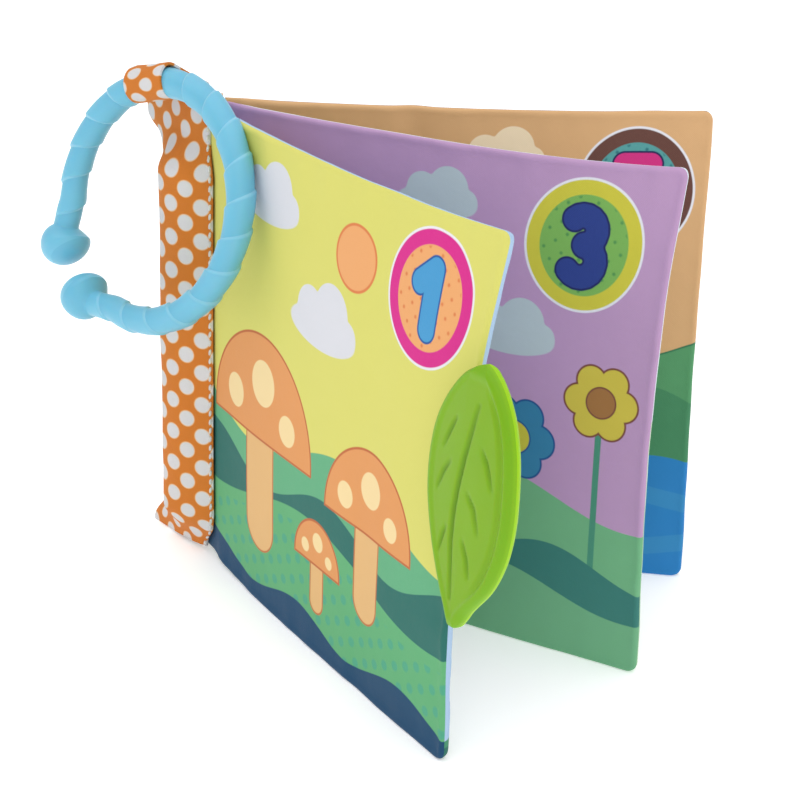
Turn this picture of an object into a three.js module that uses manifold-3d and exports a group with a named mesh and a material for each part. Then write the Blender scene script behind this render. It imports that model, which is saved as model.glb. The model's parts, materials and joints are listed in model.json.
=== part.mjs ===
// A baby's soft activity book: three padded cloth leaves sewn into a stuffed spine, with an open clip
// ring in a strap loop at the top of the spine and a leaf-shaped chewing tab on the cover's fore edge.
// Millimetres and degrees. The front leaf runs along +X from its hinge line, its printed cover faces -Y,
// and the book stands on its lower edges with +Z up.

import * as THREE from "three";
import { mergeVertices } from "three/addons/utils/BufferGeometryUtils.js";
import Module from "manifold-3d";

const wasm = await Module();
wasm.setup();

// Driving dimensions.
const clearance = 0.3; // between pieces that touch

const leafHeight = 150;
const leafWidth = 150; // hinge line to fore edge
const leafEdge = 2.2; // thickness of the sewn edges
const leafCrown = 4.0; // thickness over the padding
const leafRoot = 1.2; // thickness where a leaf hinges
const leafSwell = 26; // distance over which the padding comes up to its full thickness
const swellFullness = 0.7; // below 1, the padding comes up sooner
const leafCorner = 4; // radius of the fore corners
const foreSway = 6; // the foot of the fore edge bends this much towards the front
const topSway = 9.5; // and its top corner this much towards the back
const swayTurn = { front: 2.4, middle: 4, back: 4 }; // how late, going up, the one passes into the other
const foreDraw = 1.0; // how far the fore edge pulls in between its corners
const rootOverlap = 0.25; // how far a leaf reaches back past its hinge line
const hemWidth = 2.8; // the hem on the middle leaf that the back leaf's root turns on
const rootFlat = 4; // flat hem before the padding starts
const pageFabric = 0.6;
const crinkleFilm = 0.25;
const insertInset = 12; // from a sewn edge to the wadding and film

const hingePitch = 3.4; // between the hinge lines of two leaves
const middleAngle = 28; // resting angles, from the front leaf
const backAngle = 53;

const tabThickness = 1.2; // the seam allowances of the leaves, inside the spine
const tabDepth = 6;
const tabGap = 0.7; // between a leaf's root and its allowance
const backTabEnd = 3.4; // the back leaf's allowance stops this far short of the hinge lines
const backHingeReach = 1.6; // the back leaf's hinge line, along the middle leaf from its own

const spineFabric = 0.9;
const spineDepth = 27.5; // lip to rounded back
const spineThickness = 20.6;
const spineSwell = 14; // from the lip to the full thickness
const frontLip = 1.2; // from the hinge lines back to the cover's two lips
const backLip = 4.6;
const endSeam = 5; // height of the flat seams that close the spine
const endRise = 16; // height over which the flat end fills out
const endWidth = 35; // the end seam's reach behind the hinge lines
const endThickness = 3;
const endOffset = 1.0; // the end seam's middle, behind the front leaf's
const endRun = 8; // over which the end seam thins away from the leaves

const ringRadius = 35.8; // middle of the rod
const rodRadius = 4.3;
const rodEndRadius = 3.9;
const rodRidge = 0.3; // height of the twisted ridges
const ridgeAngle = 17; // between ridges, seen from one side
const ballRadius = 7.7;
const ballFlat = 6.8; // the ball's half length along the rod
const ballOffset = 4.6; // how far the balls' middles lie outside the rod's circle
const upperBallAngle = 212; // counter-clockwise from the ring's right side
const lowerBallAngle = 238;
const flareAngle = 22; // over which a rod end bends out to its ball
const ringTurn = 15; // the ring hangs turned this much from the cover
const ringLean = 16.9; // and leans forward at its foot, over the stuffed spine
const ringCentre = new THREE.Vector3(4.9, -20.2, 122.5);

const strapThickness = 1.2;
const strapWidth = 16;
const strapRootWidth = 11;
const strapBore = 5.5; // radius round the rod
const strapDrop = 0.42; // the bore's middle lies this much inside the rod's, which curves away
const strapAngle = 111; // where the strap holds the ring
const strapKnuckle = 1.2; // radius of the folded root on the spine's end

const teetherLength = 77;
const teetherWidth = 39;
const teetherThickness = 5.5;
const teetherRim = 3.6; // thickness at the rim
const teetherFoot = 43; // height of its lower tip
const teetherTilt = -4; // its tip leans in over the cover
const teetherReach = 10; // its middle lies this far outside the fore edge
const teetherStandOff = 4.6; // from the fore edge's middle to the tab's back
const teetherHinge = 0.2; // its hinge line, outside the fore edge's corners
const webThickness = 1.4;
const webLength = 52;
const webCatch = 0.5; // how far the web goes into the tab
const webRoot = 0.6; // and how far past the fore edge's middle
const veinWidth = 1.5;
const veinHeight = 0.5;
const veinPairs = 3;
const veinSlant = 38;
const ribShares = [0.12, 0.88]; // the midrib's ends, as shares of the tab's length
const veinShares = [0.28, 0.6]; // the feet of the lowest and highest veins, likewise
const veinReach = [0.36, 0.3]; // and their lengths, as shares of the tab's width
const bellyLean = 1.12; // above 1, the tab is widest above its middle
const bellyFullness = 0.72; // below 1, its sides are rounder
const stemLength = 5;
const stemRadius = 2;

const rootRadius = Math.hypot(rootOverlap, leafRoot / 2); // the circle that a leaf's root turns in
const leafSpots = { front: 0, middle: hingePitch, back: 2 * hingePitch };
const behindTabs = tabDepth + 3 * clearance;
const lipHalf = hingePitch + tabThickness / 2 + clearance + spineFabric;
const spineMiddle = hingePitch;

const rad = THREE.MathUtils.degToRad;
const lerp = THREE.MathUtils.lerp;
const smooth = (t) => THREE.MathUtils.smoothstep(t, 0, 1);
const limit = (t) => THREE.MathUtils.clamp(t, 0, 1);

const finish = (color, roughness, metalness = 0) =>
  new THREE.MeshStandardMaterial({ color, roughness, metalness });
const finishes = {
  dottedCotton: finish(0xd0762c, 0.85),
  yellowPage: finish(0xdcd873, 0.8),
  skyPage: finish(0x9cc8e6, 0.8),
  lilacPage: finish(0xa982ad, 0.8),
  mintPage: finish(0xd3e6d6, 0.8),
  peachPage: finish(0xd2a46e, 0.8),
  navyPage: finish(0x2c3f6b, 0.8),
  wadding: finish(0xf4f2ec, 0.95),
  film: finish(0xe8eef2, 0.25),
  tape: finish(0xe6e2d8, 0.9),
  ringPlastic: finish(0x78c3dc, 0.35),
  teetherRubber: finish(0x8cbe28, 0.5),
};

// A closed geometry from points and triangles, turned to face out.
function closedGeometry(points, triangles) {
  const volume = triangles.reduce((sum, [a, b, c]) => {
    const normal = new THREE.Vector3().crossVectors(points[b], points[c]);
    return sum + points[a].dot(normal);
  }, 0);
  const faces = volume < 0 ? triangles.map(([a, b, c]) => [a, c, b]) : triangles;
  const geometry = new THREE.BufferGeometry().setFromPoints(points);
  geometry.setIndex(faces.flat());
  geometry.computeVertexNormals();
  return geometry;
}

// A plate over a grid in the XZ plane, between two surfaces given as depths along Y.
function plate(columns, rows, outline, near, far) {
  const points = [];
  const triangles = [];
  const width = columns.length;
  const height = rows.length;
  for (const depth of [near, far]) {
    for (const row of rows) {
      for (const column of columns) {
        const [x, z] = outline(column, row);
        points.push(new THREE.Vector3(x, depth(x, z, column, row), z));
      }
    }
  }
  const at = (side, i, j) => side * width * height + j * width + i;
  const quad = (a, b, c, d) => triangles.push([a, b, c], [a, c, d]);
  for (let j = 0; j < height - 1; j++) {
    for (let i = 0; i < width - 1; i++) {
      quad(at(0, i, j), at(0, i + 1, j), at(0, i + 1, j + 1), at(0, i, j + 1));
      quad(at(1, i, j), at(1, i, j + 1), at(1, i + 1, j + 1), at(1, i + 1, j));
    }
  }
  for (let i = 0; i < width - 1; i++) {
    quad(at(0, i, 0), at(1, i, 0), at(1, i + 1, 0), at(0, i + 1, 0));
    quad(at(0, i, height - 1), at(0, i + 1, height - 1), at(1, i + 1, height - 1), at(1, i, height - 1));
  }
  for (let j = 0; j < height - 1; j++) {
    quad(at(0, 0, j), at(0, 0, j + 1), at(1, 0, j + 1), at(1, 0, j));
    quad(at(0, width - 1, j), at(1, width - 1, j), at(1, width - 1, j + 1), at(0, width - 1, j + 1));
  }
  return closedGeometry(points, triangles);
}

// A solid through rings of as many points each, closed with a flat cap at both ends.
function loft(rings) {
  const count = rings[0].length;
  const points = rings.flat();
  const triangles = [];
  for (let k = 0; k < rings.length - 1; k++) {
    for (let i = 0; i < count; i++) {
      const next = (i + 1) % count;
      const a = k * count + i;
      const b = k * count + next;
      triangles.push([a, b, b + count], [a, b + count, a + count]);
    }
  }
  const flat = rings[0].map((p) => new THREE.Vector2(p.x, p.y));
  const cap = THREE.ShapeUtils.triangulateShape(flat, []);
  const outward = THREE.ShapeUtils.area(flat) > 0;
  const last = (rings.length - 1) * count;
  for (const [a, b, c] of cap) {
    triangles.push(outward ? [c, b, a] : [a, b, c]);
    triangles.push(outward ? [last + a, last + b, last + c] : [last + c, last + b, last + a]);
  }
  return closedGeometry(points, triangles);
}

function solidOf(geometry) {
  const bare = geometry.clone();
  bare.deleteAttribute("normal");
  bare.deleteAttribute("uv");
  const merged = mergeVertices(bare, 1e-4);
  return new wasm.Manifold(
    new wasm.Mesh({
      numProp: 3,
      vertProperties: new Float32Array(merged.attributes.position.array),
      triVerts: new Uint32Array(merged.index.array),
    }),
  );
}

// One geometry out of several closed ones that run into each other.
function joined(...geometries) {
  const mesh = geometries
    .map(solidOf)
    .reduce((whole, piece) => whole.add(piece))
    .getMesh();
  const geometry = new THREE.BufferGeometry();
  geometry.setAttribute("position", new THREE.BufferAttribute(mesh.vertProperties, 3));
  geometry.setIndex(new THREE.BufferAttribute(mesh.triVerts, 1));
  geometry.computeVertexNormals();
  return geometry;
}

function named(name, geometry, material) {
  const mesh = new THREE.Mesh(geometry, material);
  mesh.name = name;
  return mesh;
}

// Leaves: two printed panels sewn round a sheet of wadding and a crinkling film.

// Stations along a side, close together where the padding swells.
function stations(start, end, startSteps, endSteps, middleSteps) {
  const first = startSteps.map((step) => start + step);
  const last = endSteps.map((step) => end - step).reverse();
  const from = first.at(-1);
  const to = last[0];
  const middle = Array.from({ length: middleSteps - 1 }, (_, k) => lerp(from, to, (k + 1) / middleSteps));
  return [...first, ...middle, ...last];
}

const middleSwell = (insertInset + leafSwell) / 2;
const edgeSteps = [0, leafCorner * 0.3, leafCorner, insertInset, middleSwell, leafSwell];
const rootSteps = [-rootOverlap, rootFlat, insertInset, rootFlat + middleSwell, rootFlat + leafSwell];
const leafColumns = stations(0, leafWidth, rootSteps, edgeSteps, 4);
const leafRows = stations(0, leafHeight, edgeSteps, edgeSteps, 5);

function foreEdge(z) {
  const fromEnd = Math.min(z, leafHeight - z);
  const inCorner = Math.max(0, leafCorner - fromEnd);
  const cut = leafCorner - Math.sqrt(leafCorner ** 2 - inCorner ** 2);
  return leafWidth - foreDraw * Math.sin((Math.PI * z) / leafHeight) - cut;
}

const leafOutline = (x, z) => [x > 0 ? (x * foreEdge(z)) / leafWidth : x, z];

const swell = (distance) => Math.sin((Math.PI / 2) * limit(distance / leafSwell)) ** swellFullness;

// Half the thickness of a leaf.
function leafHalf(x, z) {
  const border = lerp(leafRoot, leafEdge, limit((x - rootFlat) / (2 * rootFlat))) / 2;
  const fromEnds = swell(z) * swell(leafHeight - z);
  const crown = fromEnds * swell(x - rootFlat) * swell(foreEdge(z) - x);
  return lerp(border, leafCrown / 2, crown);
}

// Half the space between the two panels, closed down to a gap along the seams.
function leafInside(x, z) {
  const fromEdge = Math.min(z, leafHeight - z, x, foreEdge(z) - x);
  const open = limit((fromEdge - leafCorner) / (insertInset - leafCorner));
  return lerp(clearance / 2, Math.max(leafHalf(x, z) - pageFabric, clearance / 2), open);
}

// A hem along the root, which swells up to just under the root of the leaf behind it.
const hemSteps = [-1, -0.6, -0.2, 0.2, 0.6, 1].map((part) => backHingeReach + (part * hemWidth) / 2);

function hemHeight(x) {
  const part = limit(1 - Math.abs(x - backHingeReach) / (hemWidth / 2));
  const full = hingePitch - rootRadius - clearance - leafRoot / 2;
  return full * Math.sin((Math.PI / 2) * part) ** 0.6;
}

// How far a leaf bends off its own plane: it is twisted between its foot and its top.
function sway(name, x, z) {
  const part = limit(x / leafWidth);
  const foot = -foreSway * Math.sin((Math.PI / 2) * part);
  return lerp(foot, topSway * part ** 3, (z / leafHeight) ** swayTurn[name]);
}

function leaf(name, frontFinish, backFinish, hemmed = false) {
  const group = new THREE.Group();
  const insertColumns = leafColumns.filter((x) => x >= insertInset && x <= leafWidth - insertInset);
  const insertRows = leafRows.filter((z) => z >= insertInset && z <= leafHeight - insertInset);
  const inset = (x, z) => leafInside(x, z) - clearance;
  const swayed = (depth) => (x, z) => sway(name, x, z) + depth(x, z);
  const panel = (side, hem) =>
    plate(
      hem ? [...leafColumns, ...hemSteps].sort((a, b) => a - b) : leafColumns,
      leafRows,
      leafOutline,
      swayed((x, z) => side * leafInside(x, z)),
      swayed((x, z) => side * (leafHalf(x, z) + (hem ? hemHeight(x) : 0))),
    );
  const film = plate(
    insertColumns,
    insertRows,
    leafOutline,
    swayed((x, z) => -inset(x, z)),
    swayed((x, z) => crinkleFilm - inset(x, z)),
  );
  const wadding = plate(
    insertColumns,
    insertRows,
    leafOutline,
    swayed((x, z) => crinkleFilm + clearance - inset(x, z)),
    swayed(inset),
  );
  group.add(
    named(name + "_leaf_front_panel", panel(-1, false), frontFinish),
    named(name + "_leaf_back_panel", panel(1, hemmed), backFinish),
    named(name + "_leaf_film", film, finishes.film),
    named(name + "_leaf_wadding", wadding, finishes.wadding),
  );
  return group;
}

// Spine: a dotted cotton sleeve, open towards the leaves and sewn flat at both ends, round a stuffing
// roll. Its outline runs from the front lip round the back to the other lip.

function spineAt(z) {
  const full = smooth((Math.min(z, leafHeight - z) - endSeam) / endRise);
  const back = -lerp(endWidth, frontLip + spineDepth, full);
  const round = lerp(endThickness, spineThickness, full) / 2;
  const half = (x) => {
    const flat = lerp(lipHalf, endThickness / 2, smooth((-x - behindTabs) / endRun));
    const body = lerp(lipHalf, spineThickness / 2, smooth((-x - frontLip) / spineSwell));
    const inRound = limit((back + round - x) / round);
    return lerp(flat, body, full) * Math.sqrt(1 - inRound ** 2);
  };
  const middle = (x) => {
    const flat = lerp(spineMiddle, endOffset, smooth((-x - behindTabs) / endRun));
    return lerp(flat, spineMiddle, full);
  };
  return { back, half, middle };
}

const spineSteps = 12;

function spineOutline(z, inset, front, rear) {
  const { back, half, middle } = spineAt(z);
  const side = (lip, sign) =>
    Array.from({ length: spineSteps + 1 }, (_, k) => {
      const x = -lip + (back + lip) * Math.sin(((Math.PI / 2) * k) / spineSteps);
      return new THREE.Vector2(x, middle(x) + sign * half(x));
    });
  const line = [...side(front, -1), ...side(rear, 1).reverse().slice(1)];
  return line.map((point, k) => {
    const before = line[Math.max(k - 1, 0)];
    const after = line[Math.min(k + 1, line.length - 1)];
    const along = after.clone().sub(before).normalize();
    return new THREE.Vector3(point.x + along.y * inset, point.y - along.x * inset, z);
  });
}

const riseSteps = [0, 0.2, 0.4, 0.6, 0.8, 1].map((part) => endSeam + part * endRise);
const spineRows = stations(0, leafHeight, [0, ...riseSteps], [0, ...riseSteps], 3);

function spineCover() {
  const sleeve = loft(
    spineRows.map((z) => {
      const outside = spineOutline(z, 0, frontLip, backLip);
      const inside = spineOutline(z, spineFabric, frontLip, backLip);
      return [...outside, ...inside.reverse()];
    }),
  );
  const closing = (low, high) =>
    loft([low, high].map((z) => spineOutline(z, spineFabric / 2, behindTabs, behindTabs)));
  return joined(sleeve, closing(0, endSeam), closing(leafHeight - endSeam, leafHeight));
}

function spineStuffing() {
  const inset = spineFabric + 2 * clearance;
  const margin = endSeam + 0.5 * endRise;
  const rows = spineRows.filter((z) => z > margin && z < leafHeight - margin);
  return loft(rows.map((z) => spineOutline(z, inset, behindTabs, behindTabs)));
}

function seamTab(end, y) {
  const start = tabDepth;
  const tab = new THREE.BoxGeometry(start - end, tabThickness, leafHeight - 2 * clearance);
  tab.translate(-(start + end) / 2, y, leafHeight / 2);
  return tab;
}

// Clip ring: a rod with twisted ridges, bent into an open ring whose ends flare out to two balls.

function ringPoint(angle) {
  const start = lowerBallAngle - 360;
  const fromEnd = Math.min(angle - start, upperBallAngle - angle);
  const flare = smooth(1 - fromEnd / flareAngle);
  const reach = ringRadius + ballOffset * flare;
  const a = rad(angle);
  return new THREE.Vector3(reach * Math.cos(a), 0, reach * Math.sin(a));
}

function ringRod() {
  const start = lowerBallAngle - 360;
  const steps = Math.ceil((upperBallAngle - start) / (ridgeAngle / 4));
  const sides = 12;
  const lobes = 3;
  const across = new THREE.Vector3(0, 1, 0);
  const rings = Array.from({ length: steps + 1 }, (_, k) => {
    const angle = lerp(start, upperBallAngle, k / steps);
    const centre = ringPoint(angle);
    const along = ringPoint(angle + 0.5).sub(ringPoint(angle - 0.5)).normalize();
    const outward = new THREE.Vector3().crossVectors(across, along);
    const fromEnd = Math.min(k, steps - k) / steps;
    const thickness = lerp(rodEndRadius, rodRadius, smooth(fromEnd * 4));
    return Array.from({ length: sides }, (_, i) => {
      const turn = (2 * Math.PI * i) / sides;
      const ridge = Math.cos(lobes * turn + (2 * Math.PI * angle) / ridgeAngle);
      const size = thickness + (rodRidge * ridge) / 2;
      return centre
        .clone()
        .addScaledVector(outward, size * Math.cos(turn))
        .addScaledVector(across, size * Math.sin(turn));
    });
  });
  return tube(rings);
}

// A solid through rings that turn in space, closed at both ends by a fan.
function tube(rings) {
  const count = rings[0].length;
  const points = rings.flat();
  const triangles = [];
  for (let k = 0; k < rings.length - 1; k++) {
    for (let i = 0; i < count; i++) {
      const a = k * count + i;
      const b = k * count + ((i + 1) % count);
      triangles.push([a, b, b + count], [a, b + count, a + count]);
    }
  }
  const last = (rings.length - 1) * count;
  for (let i = 1; i < count - 1; i++) {
    triangles.push([0, i + 1, i], [last, last + i, last + i + 1]);
  }
  return closedGeometry(points, triangles);
}

function ringBall(angle) {
  const ball = new THREE.SphereGeometry(ballRadius, 18, 12);
  ball.scale(1, 1, ballFlat / ballRadius);
  ball.rotateY(-rad(angle));
  const { x, z } = ringPoint(angle);
  ball.translate(x, 0, z);
  return ball;
}

function clipRing() {
  return joined(ringRod(), ringBall(upperBallAngle), ringBall(lowerBallAngle - 360));
}

// Strap loop: a doubled strip of the spine's cotton that goes round the rod and comes back to a
// folded root on the end of the spine. Its profile is two circles joined by their tangents.

// Its bore follows the rod, and it twists level on the way to its root.

function teardrop(radius, tipRadius, distance, path) {
  const lean = Math.acos((radius - tipRadius) / distance);
  path.absarc(0, 0, radius, lean, -lean, false);
  path.absarc(distance, 0, tipRadius, -lean, lean, false);
  path.closePath();
  return path;
}

const ringPose = new THREE.Matrix4()
  .makeRotationZ(rad(ringTurn))
  .multiply(new THREE.Matrix4().makeRotationX(-rad(ringLean)))
  .setPosition(ringCentre);
const boreMiddle = new THREE.Vector3(Math.cos(rad(strapAngle)), 0, Math.sin(rad(strapAngle)))
  .multiplyScalar(ringRadius - strapDrop)
  .applyMatrix4(ringPose);
const boreAlong = new THREE.Vector3(Math.sin(rad(strapAngle)), 0, -Math.cos(rad(strapAngle)))
  .transformDirection(ringPose);
const strapTurn = Math.atan2(boreAlong.y, boreAlong.x);
const strapRoll = Math.asin(boreAlong.z);
const strapReach = (endOffset - boreMiddle.y) / Math.cos(strapTurn);
const knuckleHeight = leafHeight + 4 * clearance + strapKnuckle;

function strapLoop() {
  const drop = boreMiddle.z - knuckleHeight;
  const distance = Math.hypot(strapReach, drop);
  const profile = teardrop(strapBore + strapThickness, strapKnuckle, distance, new THREE.Shape());
  const innerTip = distance - 4 * strapKnuckle;
  profile.holes.push(teardrop(strapBore, strapThickness / 4, innerTip, new THREE.Path()));
  const strip = new THREE.ExtrudeGeometry(profile, {
    depth: strapWidth,
    bevelEnabled: false,
    curveSegments: 18,
  });
  strip.translate(0, 0, -strapWidth / 2);
  strip.rotateZ(-Math.atan2(drop, strapReach));
  strip.applyMatrix4(
    new THREE.Matrix4().makeBasis(
      new THREE.Vector3(0, 1, 0),
      new THREE.Vector3(0, 0, 1),
      new THREE.Vector3(1, 0, 0),
    ),
  );
  const position = strip.attributes.position;
  for (let i = 0; i < position.count; i++) {
    const part = limit(position.getY(i) / strapReach);
    const x = position.getX(i) * lerp(1, strapRootWidth / strapWidth, part);
    const z = position.getZ(i);
    const roll = strapRoll * (1 - part) ** 2;
    position.setX(i, x * Math.cos(roll) - z * Math.sin(roll));
    position.setZ(i, x * Math.sin(roll) + z * Math.cos(roll));
  }
  return strip;
}

// Chewing tab: a leaf-shaped plate with a crowned face, a midrib, veins and a stem, and a web on its
// back that is sewn to the cover's fore edge.

const webLean = Math.sin(rad(teetherTilt)) * (teetherLength / 2) - teetherReach;

function teetherHalfWidth(part) {
  const belly = Math.sin(Math.PI * part ** bellyLean) ** bellyFullness;
  return (teetherWidth / 2) * belly;
}

function teetherPlate() {
  const columns = Array.from({ length: 13 }, (_, i) => Math.sin((Math.PI / 2) * lerp(-1, 1, i / 12)));
  const rows = Array.from({ length: 21 }, (_, j) => (1 - Math.cos((Math.PI * j) / 20)) / 2);
  const tip = 0.012;
  const outline = (u, v) => {
    const part = lerp(tip, 1 - tip, v);
    return [u * teetherHalfWidth(part), part * teetherLength];
  };
  const crown = (u, v) => (1 - u ** 4) * Math.sin(Math.PI * lerp(tip, 1 - tip, v)) ** 0.4;
  const face = (x, z, u, v) => -lerp(teetherRim, teetherThickness, crown(u, v));
  const back = () => 0;
  return plate(columns, rows, outline, back, face);
}

// A raised bar on the tab's face, from a foot point, at a slant from upright.
function vein(x, z, length, slant, height) {
  const bar = new THREE.CapsuleGeometry(veinWidth / 2, length, 3, 8);
  bar.translate(0, length / 2, 0);
  bar.rotateX(Math.PI / 2);
  bar.rotateY(rad(slant));
  bar.translate(x, -height, z);
  return bar;
}

function leafTeether() {
  const faceDepth = teetherThickness + veinHeight - veinWidth / 2;
  const parts = [teetherPlate()];
  const [ribFoot, ribTop] = ribShares.map((share) => share * teetherLength);
  parts.push(vein(0, ribFoot, ribTop - ribFoot, 0, faceDepth));
  for (let k = 0; k < veinPairs; k++) {
    const z = teetherLength * lerp(...veinShares, k / (veinPairs - 1));
    const length = teetherWidth * lerp(...veinReach, k / (veinPairs - 1));
    for (const side of [-1, 1]) {
      parts.push(vein(0, z, length, side * veinSlant, faceDepth));
    }
  }
  const stem = new THREE.CapsuleGeometry(stemRadius, stemLength, 4, 10);
  stem.rotateX(Math.PI / 2);
  stem.translate(0, -teetherRim / 2, -stemLength * 0.1);
  parts.push(stem);
  const plateSolid = joined(...parts);
  plateSolid.rotateY(rad(teetherTilt));
  const webDepth = teetherStandOff + webRoot;
  const web = new THREE.BoxGeometry(webThickness, webDepth + webCatch, webLength);
  web.translate(webLean, (webDepth - webCatch) / 2, teetherLength / 2);
  return joined(plateSolid, web);
}

// Assembly, about the foot of the front leaf's hinge line.

const book = new THREE.Group();

book.add(
  named("spine_cover", spineCover(), finishes.dottedCotton),
  named("spine_stuffing", spineStuffing(), finishes.wadding),
  named("front_leaf_tab", seamTab(rootOverlap + tabGap, leafSpots.front), finishes.tape),
  named("middle_leaf_tab", seamTab(rootOverlap + tabGap, leafSpots.middle), finishes.tape),
  named("back_leaf_tab", seamTab(backTabEnd, leafSpots.back), finishes.tape),
);

const frontLeaf = leaf("front", finishes.yellowPage, finishes.skyPage);

const middleLeaf = leaf("middle", finishes.lilacPage, finishes.mintPage, true);
middleLeaf.position.y = leafSpots.middle;
middleLeaf.rotation.z = rad(middleAngle);

// The back leaf hinges one pitch behind the middle leaf and fans on from it.
const backLeaf = leaf("back", finishes.peachPage, finishes.navyPage);
backLeaf.position.set(backHingeReach, hingePitch, 0);
backLeaf.rotation.z = rad(backAngle - middleAngle);
middleLeaf.add(backLeaf);

// The chewing tab stands along the swayed fore edge.
const teether = named("leaf_teether", leafTeether(), finishes.teetherRubber);
const edgeFoot = sway("front", leafWidth, teetherFoot);
const edgeTop = sway("front", leafWidth, teetherFoot + teetherLength);
const foreSide = new THREE.Group();
foreSide.position.set(leafWidth + teetherHinge, (edgeFoot + edgeTop) / 2, teetherFoot + teetherLength / 2);
foreSide.rotation.x = -Math.atan2(edgeTop - edgeFoot, teetherLength);
teether.position.set(teetherHinge - webLean, -teetherStandOff, -teetherLength / 2);
foreSide.add(teether);
frontLeaf.add(foreSide);

const ring = named("clip_ring", clipRing(), finishes.ringPlastic);
ring.applyMatrix4(ringPose);

const loop = named("hanging_loop", strapLoop(), finishes.dottedCotton);
loop.position.copy(boreMiddle);
loop.rotation.z = strapTurn;

book.add(frontLeaf, middleLeaf, loop, ring);

// The part's origin is under the middle of its box, on the surface that it stands on.
const part = new THREE.Group();
part.add(book);
part.updateMatrixWorld(true);
const box = new THREE.Box3().setFromObject(part, true);
const middle = box.getCenter(new THREE.Vector3());
book.position.set(-middle.x, -middle.y, -box.min.z);

export default part;
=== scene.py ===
import json
import math

import bmesh
import bpy
from mathutils import Matrix, Vector, noise


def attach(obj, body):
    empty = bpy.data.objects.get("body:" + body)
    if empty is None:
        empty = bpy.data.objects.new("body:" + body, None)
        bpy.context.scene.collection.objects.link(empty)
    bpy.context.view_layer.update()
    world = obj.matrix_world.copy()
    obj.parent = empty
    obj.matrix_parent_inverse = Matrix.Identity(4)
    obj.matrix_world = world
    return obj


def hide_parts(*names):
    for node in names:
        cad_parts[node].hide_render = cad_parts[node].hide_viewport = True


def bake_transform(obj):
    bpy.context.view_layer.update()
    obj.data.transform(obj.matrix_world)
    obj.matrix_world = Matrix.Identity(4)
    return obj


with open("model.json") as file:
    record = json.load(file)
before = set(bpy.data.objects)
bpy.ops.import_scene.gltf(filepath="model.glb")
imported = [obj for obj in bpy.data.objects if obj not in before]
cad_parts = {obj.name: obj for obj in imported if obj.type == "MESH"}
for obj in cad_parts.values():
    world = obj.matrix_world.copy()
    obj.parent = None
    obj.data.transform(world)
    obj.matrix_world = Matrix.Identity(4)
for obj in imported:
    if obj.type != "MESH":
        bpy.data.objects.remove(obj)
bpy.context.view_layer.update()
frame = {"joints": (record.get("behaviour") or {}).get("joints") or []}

# A baby's soft activity book, standing fanned on its lower edges. Lengths are in millimetres from the
# foot of the front leaf's hinge line, with +X along the front leaf, -Y in front of its cover and +Z up,
# and each piece is brought into the part's frame when it is finished.

MM = 0.001
JOINTS = {joint["name"]: joint for joint in frame["joints"]}
FOOT = Vector(JOINTS["front_leaf_turn"]["pos_m"])
TO_PART = Matrix.Translation(FOOT) @ Matrix.Scale(MM, 4)

LEAF_WIDTH = 150
LEAF_HEIGHT = 150
LEAF_ROOT = 1.2
LEAF_EDGE = 3.6
LEAF_CROWN = 3.9
LEAF_CORNER = 3.0
LEAF_SWELL = 26
ROOT_OVERLAP = 0.25
ROOT_FLAT = 4
FORE_DRAW = 1.0
EDGE_ROUND = 1.7
FORE_SWAY = {"front": 6, "middle": 3.9, "back": 3.7}
SEAM_SHIFT = 1.15
SEAM_SPREAD = 1.4
LUMP_SIZE = 42
LUMP_HEIGHT = 0.7
GATHER_HEIGHT = 0.85
GATHER_LENGTH = 6.5
GATHER_START = 1.1
GATHER_REACH = 5.5
FORE_RIPPLE = 0.35
FOOT_LIFT = 2.0
TOP_SWAY = 9.5
SHORTER = {"front": 0, "middle": -1.7, "back": 2.6}
CORNER_RISE = {"front": 1.5, "middle": 2.4, "back": 0.6}
# Each soft fold's distance from the hinge line, its half width and its height.
SOFT_FOLDS = {"front": ((104, 9, 0.5),), "middle": ((64, 10, 0.2),), "back": ((57, 5, 1.5), (128, 9, 0.9))}
SWAY_TURN = {"front": 2.4, "middle": 4, "back": 4}
LEAF_ANGLE = {"front": 0, "middle": 28, "back": 53}

TAB_THICKNESS = 1.2
TAB_DEPTH = 6
TAB_FRONT = 0.95
TAB_SPACING = 3.4

SPINE_FABRIC = 0.9
PINCH_DEPTH = 18
PINCH_SPREAD = 7
PINCH = 1.1
PLEAT_HEIGHT = 0.8
STUFFING_LUMP = 0.4
CRUMPLE_HEIGHT = 0.35
FLAP_FOOT = 3.4
# The sleeve's lines of sewing, as shares of the way round it.
FLAP_SEAM = 0.016
LIP_SEAM = 0.96
STITCHES = 50

DOT_PITCH = 10.8
DOT_RADIUS = 2.5
DOT_START = (-2.9, 5.3)

RING_RADIUS = 35.8
ROD_RADIUS = 4.35
ROD_END_RADIUS = 3.9
BALL_RADIUS = 7.7
BALL_FLAT = 6.2
BALL_OFFSET = 4.6
UPPER_BALL = 212
LOWER_BALL = 238 - 360
FLARE_ANGLE = 22
RIDGE_ANGLE = 17
RIDGE_HEIGHT = 0.6
RIDGE_STEP = 0.08
BALL_MELT = 0.7
RING_CENTRE = Vector((4.9, -20.2, 122.5))
RING_POSE = (
    Matrix.Translation(RING_CENTRE)
    @ Matrix.Rotation(math.radians(15), 4, "Z")
    @ Matrix.Rotation(math.radians(-16.9), 4, "X")
)

STRAP_BORE = 4.7
STRAP_THICKNESS = 0.9
STRAP_WIDTH = 15.4
STRAP_ROOT_WIDTH = 12.5
STRAP_TIP = 1.0
STRAP_ANGLE = math.radians(106.5)
STRAP_ROOT_DEPTH = 2.5
STRAP_PRINT_START = (4, 2)
STRAP_PRINT_LENGTH = 74
KNUCKLE_HEIGHT = 152.4

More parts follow.
